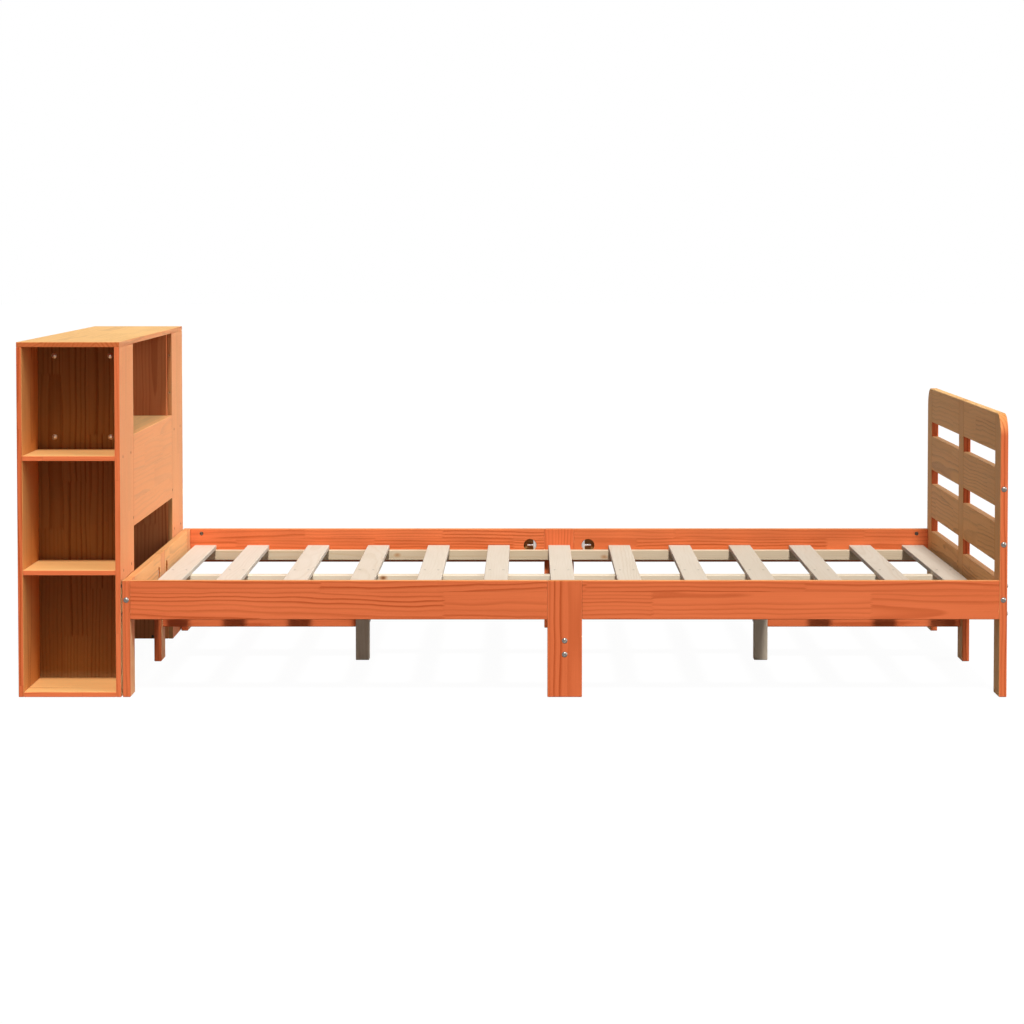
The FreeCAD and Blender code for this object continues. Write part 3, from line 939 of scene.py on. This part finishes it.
def holes_in(name):
    """Holes that open on a board's faces: nut holes, half-moon pockets and spare dowel holes."""
    found = []
    for bolt in bolts:
        mouth = bolt.nut() + bolt.mouth * board / 2
        if name == bolt.held:
            found.append((mouth, -bolt.mouth, NUT_RADIUS + NUT_CLEARANCE, board - NUT_FLOOR))
        if bolt.crossed and name.startswith(bolt.crossed) and name.endswith(bolt.held.split("_")[2]):
            low, high = span(bolt.crossed)
            depth = high[1] - low[1]
            outer = mouth + bolt.mouth * depth
            found.append((outer, -bolt.mouth, NUT_RADIUS + NUT_CLEARANCE, depth + DRILL_SPARE))
    for middle, along, open_side, rails in joints:
        for rail, way in zip(rails, (-1, 1)):
            if name == rail:
                centre = middle + along * way * (leg_width / 2 + POCKET_SETBACK) + open_side * board / 2
                found.append((centre, -open_side, POCKET_RADIUS, board - POCKET_FLOOR))
    if name.endswith("_tower_bed_wall"):
        sign = SIDES[name.split("_")[0]]
        for step in range(1, SPARE_HOLES + 1):
            level = shelf_high[2] - SPARE_HOLE_DROP + step * SPARE_HOLE_PITCH
            mouth = np.array([(wall_low[0] + wall_high[0]) / 2, sign * wall_low[1], level])
            found.append((mouth, sign * Y, SPARE_HOLE_RADIUS, SPARE_HOLE_DEPTH))
    for seat, mouth, outward in case_seats + slat_seats:
        if name == seat:
            found.append((mouth, -outward, SCREW_HOLE_RADIUS, SCREW_HOLE_DEPTH))
    return found


# Boards

# Unless told otherwise, a stained board gets painted light on its top
def stained_board(name, low, high, grain, arris, node=None, stave=SINGLE_STAVE, painted_light_and_shade=PAINTED_LIGHT_ON_TOP, tone=0.0,
                  finish=stained):
    """Stained board with its holes, which stands for the node of its own name unless another is given."""
    shape = plain_board(low, high, grain, arris)
    laps = NEAR_RAIL_LAPS.get(name)
    wooden(name, shape, finish, "stained_pine", node or name, stave, tone, holes_in(name), laps, painted_light_and_shade)


def bare_board(name, low, high, grain, finish, node=None, tone=0.0):
    """Board of the slatted base, without stain, with its holes."""
    shape = plain_board(low, high, grain, SLAT_ARRIS)
    wooden(name, shape, finish, "bare_pine", node or name, SINGLE_STAVE, tone, holes_in(name))


def cut_in_two(low, high, axis, first_stop, second_start):
    """Corners of two boards that share a node's box, with the gap between them given."""
    first_high = high.copy()
    first_high[axis] = first_stop
    second_low = low.copy()
    second_low[axis] = second_start
    return (low, first_high), (second_low, high)


def bed_boards():
    """Legs, rails, stretchers and the footboard."""
    for name in ("left_head_leg", "right_head_leg", "centre_head_leg", "left_mid_leg", "right_mid_leg"):
        stained_board(name, *span(name), UPRIGHT, FRAME_ARRIS)
    stained_board("foot_divider", *span("foot_divider"), UPRIGHT, FRAME_ARRIS, painted_light_and_shade=PAINTED_LIGHT_ON_CROWN)
    for side, sign in SIDES.items():
        name = side + "_head_rail"
        stained_board(name, *span(name), CROSSWISE, FRAME_ARRIS, None, RAIL_STAVE, HEAD_RAIL_PAINTED_LIGHT)
        # Painted light on the side rails' tops and inner faces
        painted_light_and_shade = PAINTED_LIGHT_ON_TOP + ((RAIL_INSIDE_PAINTED_LIGHT, -sign * Y),)
        for end in ENDS:
            name = side + "_rail_" + end + "_half"
            stained_board(name, *span(name), LENGTHWISE, FRAME_ARRIS, None, RAIL_STAVE, painted_light_and_shade)
    stained_board("cross_beam", *span("cross_beam"), CROSSWISE, FRAME_ARRIS)
    for end in ENDS:
        name = end + "_stretcher"
        stained_board(name, *span(name), LENGTHWISE, FRAME_ARRIS)
    for row in FOOT_ROWS:
        node = "foot_board_%d" % row
        # Painted light on the footboard's crown row, and on the other rows' inner faces and slot floors
        painted_light_and_shade = PAINTED_LIGHT_ON_CROWN if row == FOOT_ROWS[-1] else PAINTED_LIGHT_INSIDE
        halves = cut_in_two(*span(node), CROSSWISE, foot_low[1], foot_high[1])
        for side, (low, high) in zip(SIDES, halves):
            name = node + "_" + side
            stained_board(name, low, high, CROSSWISE, FRAME_ARRIS, node, RAIL_STAVE, painted_light_and_shade, STILE_TONE)
    for side, sign in SIDES.items():
        radii = [FRAME_ARRIS] * 4
        radii[0 if sign > 0 else 1] = SHOULDER_RADIUS
        name = side + "_foot_stile"
        shape = Board(*span(name), UPRIGHT, LENGTHWISE, FRAME_ARRIS, tuple(radii), SHOULDER_STEPS)
        wooden(name, shape, stained, "stained_pine", name, tone=STILE_TONE, painted_light_and_shade=PAINTED_LIGHT_ON_CROWN)


def base_boards():
    """Battens, centre beam, posts and slats, in wood without stain."""
    for node in ("left_batten", "right_batten", "centre_beam"):
        halves = cut_in_two(*span(node), LENGTHWISE, bed_middle, bed_middle)
        tone = 0.0 if node == "centre_beam" else BATTEN_TONE
        for end, (low, high) in zip(ENDS, halves):
            bare_board(node + "_" + end, low, high, LENGTHWISE, batten_pine, node, tone)
    for end in ENDS:
        name = end + "_post"
        # Posts darker, as painted shade under the slats
        bare_board(name, *span(name), UPRIGHT, slat_pine, tone=POST_PAINTED_SHADE_TONE)
    for name in SLATS:
        bare_board(name, *span(name), CROSSWISE, slat_pine, tone=draws.uniform(*SLAT_TONES))


def case_boards():
    """Bookcase: top, towers and the middle cubby."""
    # Painted light on the tops, with the middle shelf and front panel paler and the top darker to temper it
    wide = {
        "bookcase_top": (STRONG_PAINTED_LIGHT_ON_TOP_AND_ENDS, TOP_PAINTED_LIGHT_DIMMING),
        "mid_shelf": (DIM_PAINTED_LIGHT_ON_TOP, SHELF_PAINTED_LIGHT_TONE),
        "front_panel": (PAINTED_LIGHT_ON_TOP, CASE_PAINTED_LIGHT_TONE),
    }
    for name, (painted_light_and_shade, tone) in wide.items():
        stained_board(name, *span(name), CROSSWISE, CASE_ARRIS, None, PANEL_STAVE, painted_light_and_shade, tone)
    for side, sign in SIDES.items():
        # Painted shade on the cubby ends, the tower backs and the bed walls' edges toward the middle cubby;
        # painted light on the rear walls inside the cubbies, which are darker as painted shade, and on the
        # paler bed walls
        uprights = {
            "cubby_end": (((END_PAINTED_SHADE, Y), (END_PAINTED_SHADE, -Y)), 0.0, stained),
            "tower_back": (((BACK_PAINTED_SHADE, sign * Y), (END_PAINTED_SHADE, -sign * Y)), 0.0, stained),
            "tower_rear_wall": (REAR_PAINTED_LIGHT, REAR_PAINTED_SHADE_TONE, matt_stained),
            "tower_bed_wall": (((EDGE_PAINTED_SHADE, -sign * Y),), CASE_PAINTED_LIGHT_TONE, stained),
        }
        for piece, (painted_light_and_shade, tone, finish) in uprights.items():
            name = side + "_" + piece
            stained_board(name, *span(name), UPRIGHT, CASE_ARRIS, None, PANEL_STAVE, painted_light_and_shade, tone, finish)
        # Painted light on the tops of the tower bottoms and shelves, which are paler as painted light too
        name = side + "_tower_bottom"
        stained_board(name, *span(name), LENGTHWISE, CASE_ARRIS, None, PANEL_STAVE, STRONG_PAINTED_LIGHT_ON_TOP, SHELF_PAINTED_LIGHT_TONE)
        node = side + "_tower_shelves"
        low, high = span(node)
        shelves = cut_in_two(low, high, UPRIGHT, low[2] + case_board, high[2] - case_board)
        for level, (low, high) in zip(("lower", "upper"), shelves):
            name = side + "_tower_" + level + "_shelf"
            stained_board(name, low, high, LENGTHWISE, CASE_ARRIS, node, PANEL_STAVE, STRONG_PAINTED_LIGHT_ON_TOP, SHELF_PAINTED_LIGHT_TONE)


# Metal

def socket_head(radius, height, shank_radius, shank):
    """Bolt with a domed head and a six-sided socket: rows of points from the socket's floor outwards.

    The dome is a cap of a ball; between the socket's rim and the dome's crown the rows go from a
    hexagon, whose radius is flat / cos(angle from the middle of its side), to a circle.
    """
    angle = circle(ROUND_STEPS)
    nothing = 0 * angle
    flat = 0.30 * radius
    hexagon = flat / np.cos((angle % (np.pi / 3)) - np.pi / 6)
    inside = 0.92 * hexagon
    outside = 1.08 * hexagon
    ball = (radius ** 2 + height ** 2) / (2 * height)
    floor = 0.38 * height
    dip = 0.0002
    lip = 0.00025
    edge = 0.0003

    def cap(distance):
        return np.sqrt(ball ** 2 - distance ** 2) - (ball - height)

    circles = [radius * share for share in (0.50, 0.62, 0.74, 0.85, 0.93, 0.98)]
    rows = [(0, floor - dip), (inside, floor), (hexagon, cap(hexagon) - lip), (outside, cap(outside))]
    rows += [(distance, cap(distance)) for distance in circles]
    rows += [(radius, edge), (radius, 0), (shank_radius, 0), (shank_radius, -shank), (0, -shank)]
    radius_rows = np.array([row[0] + nothing for row in rows])
    height_rows = np.array([row[1] + nothing for row in rows])
    return turned(radius_rows, height_rows)


def slotted_end(radius, length):
    """Barrel nut: a round bar with rounded rims and a screwdriver slot sunk into its top end.

    The top's height drops by the slot's depth where the distance from the slot's line is small.
    """
    angle = circle(ROUND_STEPS)
    once = np.ones(ROUND_STEPS)
    shares = np.array([0, 0.18, 0.30, 0.42, 0.56, 0.72, 0.86, 0.94, 1.0])[:, None]
    rim = 0.0005
    slot_depth = 0.0012
    slot_reach = 0.0009
    slot_wall = 0.0002
    distance = np.abs(shares * radius * np.sin(angle))
    sunk = slot_depth * np.clip((slot_reach - distance) / slot_wall, 0, 1)
    sunk[-1] = 0
    bevel = np.array([0] * (len(shares) - 1) + [rim])[:, None]
    top_radius = shares * radius * once
    top_height = -sunk - bevel
    low_radius = np.array([radius, radius - rim, 0])[:, None] * once
    low_height = np.array([-length + rim, -length, -length])[:, None] * once
    return turned(np.vstack([top_radius, low_radius]), np.vstack([top_height, low_height]))


def threaded_stud(radius, half_length, threaded, pitch):
    """Stud with a thread at both ends: the radius falls by a ridge that climbs one pitch a turn.

    Ridge height at (angle, height) is the triangle wave of height / pitch - angle / full turn.
    """
    angle = circle(THREAD_STEPS)
    rows_a_pitch = 6
    ridge_height = 0.45 * pitch
    tip = 0.85
    thread = np.arange(0, threaded, pitch / rows_a_pitch)
    height = np.concatenate([-half_length + thread, half_length - thread[::-1]])
    wave = (height[:, None] / pitch - angle / (2 * np.pi)) % 1.0
    ridge = np.abs(2 * wave - 1)
    inner = np.abs(height) < half_length - threaded + pitch
    depth = np.where(inner[:, None], 0.0, ridge_height)
    radius_rows = radius - depth * ridge
    radius_rows[[0, -1]] *= tip
    radius_rows = np.vstack([0 * angle, radius_rows, 0 * angle])
    height_rows = np.concatenate([[height[0]], height, [height[-1]]])[:, None] * np.ones(THREAD_STEPS)
    return rings(radius_rows, height_rows)


def half_moon(radius, chord, thickness):
    """Half-moon nut: the part of a disc beyond a chord, with its rim rounded.

    One parameter runs along the chord and back along the arc, the other over the rim's quarter circles.
    """
    arc_points = 25
    chord_points = 9
    rim_points = 9
    reach = math.acos(chord / radius)
    arc = np.linspace(-reach, reach, arc_points)
    line = np.linspace(1, -1, chord_points)[1:-1] * radius * math.sin(reach)
    outline = np.concatenate([
        np.column_stack([radius * np.cos(arc), radius * np.sin(arc)]),
        np.column_stack([np.full_like(line, chord), line]),
    ])
    rim = 0.0006
    tilt = np.linspace(-np.pi / 2, np.pi / 2, rim_points)
    centre = np.array([(chord + radius) / 2, 0])
    shrink = 1 - rim * (1 - np.cos(tilt)) / ((radius - chord) / 2)
    flat = centre + (outline - centre) * shrink[:, None, None]
    height = (thickness / 2 - rim) * np.sign(tilt) + rim * np.sin(tilt)
    height[rim_points // 2] = 0
    lid = np.broadcast_to(centre, (1, *flat.shape[1:]))
    flat = np.concatenate([lid, flat, lid])
    height = np.concatenate([[-thickness / 2], height, [thickness / 2]])
    points = np.concatenate([flat, np.broadcast_to(height[:, None, None], (*flat.shape[:2], 1))], axis=2)
    index = np.arange(flat.shape[0] * flat.shape[1]).reshape(flat.shape[:2])
    return points.reshape(-1, 3), quads(index, True)


def cross_head(radius):
    """Countersunk screw head: a flat disc with a cross sunk into it, and a short cone below.

    The disc's height drops by the cross's depth where the smaller of |x| and |y| is small. All measures
    are shares of the head's radius.
    """
    angle = circle(ROUND_STEPS)
    shares = np.array([0, 0.16, 0.30, 0.42, 0.54, 0.62, 0.80, 0.95, 1.0])[:, None]
    arm_width = 0.16
    arm_wall = 0.06
    arm_reach = 0.62
    arm_end = 0.08
    cross_depth = 0.45
    rim = 0.05
    cone_radius = 0.4
    cone_depth = 0.6
    x = np.abs(shares * np.cos(angle))
    y = np.abs(shares * np.sin(angle))
    arm = np.clip((arm_width - np.minimum(x, y)) / arm_wall, 0, 1)
    sunk = cross_depth * arm * np.clip((arm_reach - shares) / arm_end, 0, 1)
    bevel = np.array([0] * (len(shares) - 1) + [rim])[:, None]
    low = np.full_like(angle, -cone_depth)
    radius_rows = np.vstack([shares + 0 * angle, np.full_like(angle, cone_radius), 0 * angle])
    height_rows = np.vstack([-sunk - bevel, low, low])
    return turned(radius * radius_rows, radius * height_rows)


def frame_fasteners():
    """Bolts, barrel nuts, studs and half-moon nuts of the bed's frame."""
    shapes = []
    for bolt in bolts:
        shank = bolt.grip + NUT_SETBACK + BOLT_PAST_NUT
        shape = socket_head(BOLT_HEAD_RADIUS, BOLT_HEAD_HEIGHT, BOLT_RADIUS, shank)
        shapes.append(placed(*shape, bolt.seat, -bolt.into))
    metal("frame_bolts_finished", *joined(shapes), bolt_steel, "frame_bolts")
    nut = slotted_end(NUT_RADIUS, board - NUT_RECESS - NUT_FLOOR)
    places = [(bolt.nut() + bolt.mouth * (board / 2 - NUT_RECESS), bolt.mouth) for bolt in bolts]
    metal("barrel_nuts_finished", *repeated(*nut, places), bolt_steel, "barrel_nuts")
    half_stud = leg_width / 2 + POCKET_SETBACK + STUD_PAST_POCKET
    stud = threaded_stud(BOLT_RADIUS, half_stud, THREADED_LENGTH, THREAD_PITCH)
    places = [(middle, along) for middle, along, _, _ in joints]
    metal("rail_studs_finished", *repeated(*stud, places), bright_zinc, "rail_studs", THREAD_CREASE)
    shapes = []
    moon_radius = POCKET_RADIUS - HALF_MOON_CLEARANCE
    thickness = board - 2 * (POCKET_FLOOR + HALF_MOON_CLEARANCE)
    points, faces = half_moon(moon_radius, POCKET_RADIUS - HALF_MOON_HEIGHT, thickness)
    for middle, along, open_side, _ in joints:
        for way in (-1, 1):
            centre = middle + along * way * (leg_width / 2 + POCKET_SETBACK)
            inward = -along * way
            turn = np.column_stack([inward, np.cross(open_side, inward), open_side])
            shapes.append((points @ turn.T + centre, faces))
    metal("half_moon_nuts_finished", *joined(shapes), bright_zinc, "half_moon_nuts")


def case_fasteners():
    """Bolts between towers and middle cubby, each as long as a board and its insert."""
    bolt = socket_head(BOLT_HEAD_RADIUS, BOLT_HEAD_HEIGHT, BOLT_RADIUS, case_board + INSERT_LENGTH)
    low, high = span("right_tower_shelves")
    xs = (low[0] + CONNECTOR_INSET_X, high[0] - CONNECTOR_INSET_X)
    zs = (high[2] + CONNECTOR_INSET_Z, wall_high[2] - CONNECTOR_INSET_Z)
    places = [
        (np.array([x, sign * back_high[1], z]), sign * Y) for sign in SIDES.values() for x in xs for z in zs
    ]
    metal("case_connectors_finished", *repeated(*bolt, places), dull_zinc, "case_connectors")


def screws():
    """Countersunk screws, sunk a little below the wood."""
    for name, seats in (("case_screws", case_seats), ("slat_screws", slat_seats)):
        places = [(mouth - outward * SCREW_SINK, outward) for _, mouth, outward in seats]
        metal(name, *repeated(*cross_head(SCREW_RADIUS), places), screw_steel, None)


# Studio

def studio_floor():
    """Pale floor: white to the camera and in gloss, with the bed's shadow and a darker bounce.

    From below it is clear, so that the bed shows from there too.
    """
    mesh = bpy.data.meshes.new("studio_floor")
    corners = FLOOR_REACH * np.array([(-1, -1, 0), (1, -1, 0), (1, 1, 0), (-1, 1, 0)])
    mesh.from_pydata(corners.tolist(), [], [(0, 1, 2, 3)])
    floor = bpy.data.objects.new("studio_floor", mesh)
    bpy.context.scene.collection.objects.link(floor)
    g = Graph(bpy.data.materials.new("studio_floor"))
    bounce = g.node("ShaderNodeBsdfDiffuse", FLOOR_BOUNCE).outputs[0]
    in_light = g.node("ShaderNodeBsdfDiffuse", FLOOR_IN_LIGHT).outputs[0]
    glow = g.node("ShaderNodeEmission", WHITE, FLOOR_GLOW).outputs[0]
    bright = g.node("ShaderNodeAddShader", in_light, glow).outputs[0]
    above = g.node("ShaderNodeMixShader", g.seen(), bounce, bright).outputs[0]
    clear = g.node("ShaderNodeBsdfTransparent").outputs[0]
    below = g.node("ShaderNodeNewGeometry").outputs["Backfacing"]
    both = g.node("ShaderNodeMixShader", below, above, clear).outputs[0]
    g.fill(g.tree.nodes["Material Output"], {"Surface": both})
    mesh.materials.append(g.owner)


def studio_world():
    """White to the camera and in gloss, and a low even light on everything."""
    g = Graph(bpy.data.worlds.new("studio"))
    bpy.context.scene.world = g.owner
    strength = g.node("ShaderNodeMapRange", g.seen(), 0.0, 1.0, AMBIENT, 1.0).outputs[0]
    g.fill(g.tree.nodes["Background"], {"Color": WHITE, "Strength": strength})


def soft_lamp(name, source, level, width):
    """Distant soft lamp from a direction; level is what a white face turned to it would show."""
    lamp = bpy.data.lights.new(name, "SUN")
    lamp.energy = level * math.pi
    lamp.angle = math.radians(width)
    holder = bpy.data.objects.new(name, lamp)
    direction = np.array(source, float) / np.linalg.norm(source)
    holder.rotation_mode = "QUATERNION"
    holder.rotation_quaternion = Vector(direction).to_track_quat("Z", "Y")
    bpy.context.scene.collection.objects.link(holder)


def camera():
    """Camera at the photograph's place, tilted down a little, with the picture's shift."""
    lens = bpy.data.cameras.new("camera")
    lens.sensor_width = SENSOR_WIDTH
    lens.lens = FOCAL_PIXELS / PICTURE_PIXELS * SENSOR_WIDTH
    lens.shift_x = 0.5 - AXIS_PIXEL[0] / PICTURE_PIXELS
    lens.shift_y = AXIS_PIXEL[1] / PICTURE_PIXELS - 0.5
    holder = bpy.data.objects.new("camera", lens)
    holder.location = CAMERA_PLACE
    holder.rotation_euler = (math.pi / 2 - CAMERA_TILT, 0, 0)
    bpy.context.scene.collection.objects.link(holder)
    bpy.context.scene.camera = holder


bed_boards()
base_boards()
case_boards()
frame_fasteners()
case_fasteners()
screws()
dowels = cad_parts["dowels"]
dowels.data.materials.clear()
dowels.data.materials.append(dowel_wood())

studio_floor()
studio_world()
soft_lamp("front_key", *FRONT_KEY)
soft_lamp("right_fill", *RIGHT_FILL)
camera()
bpy.context.scene.view_settings.view_transform = "Standard"
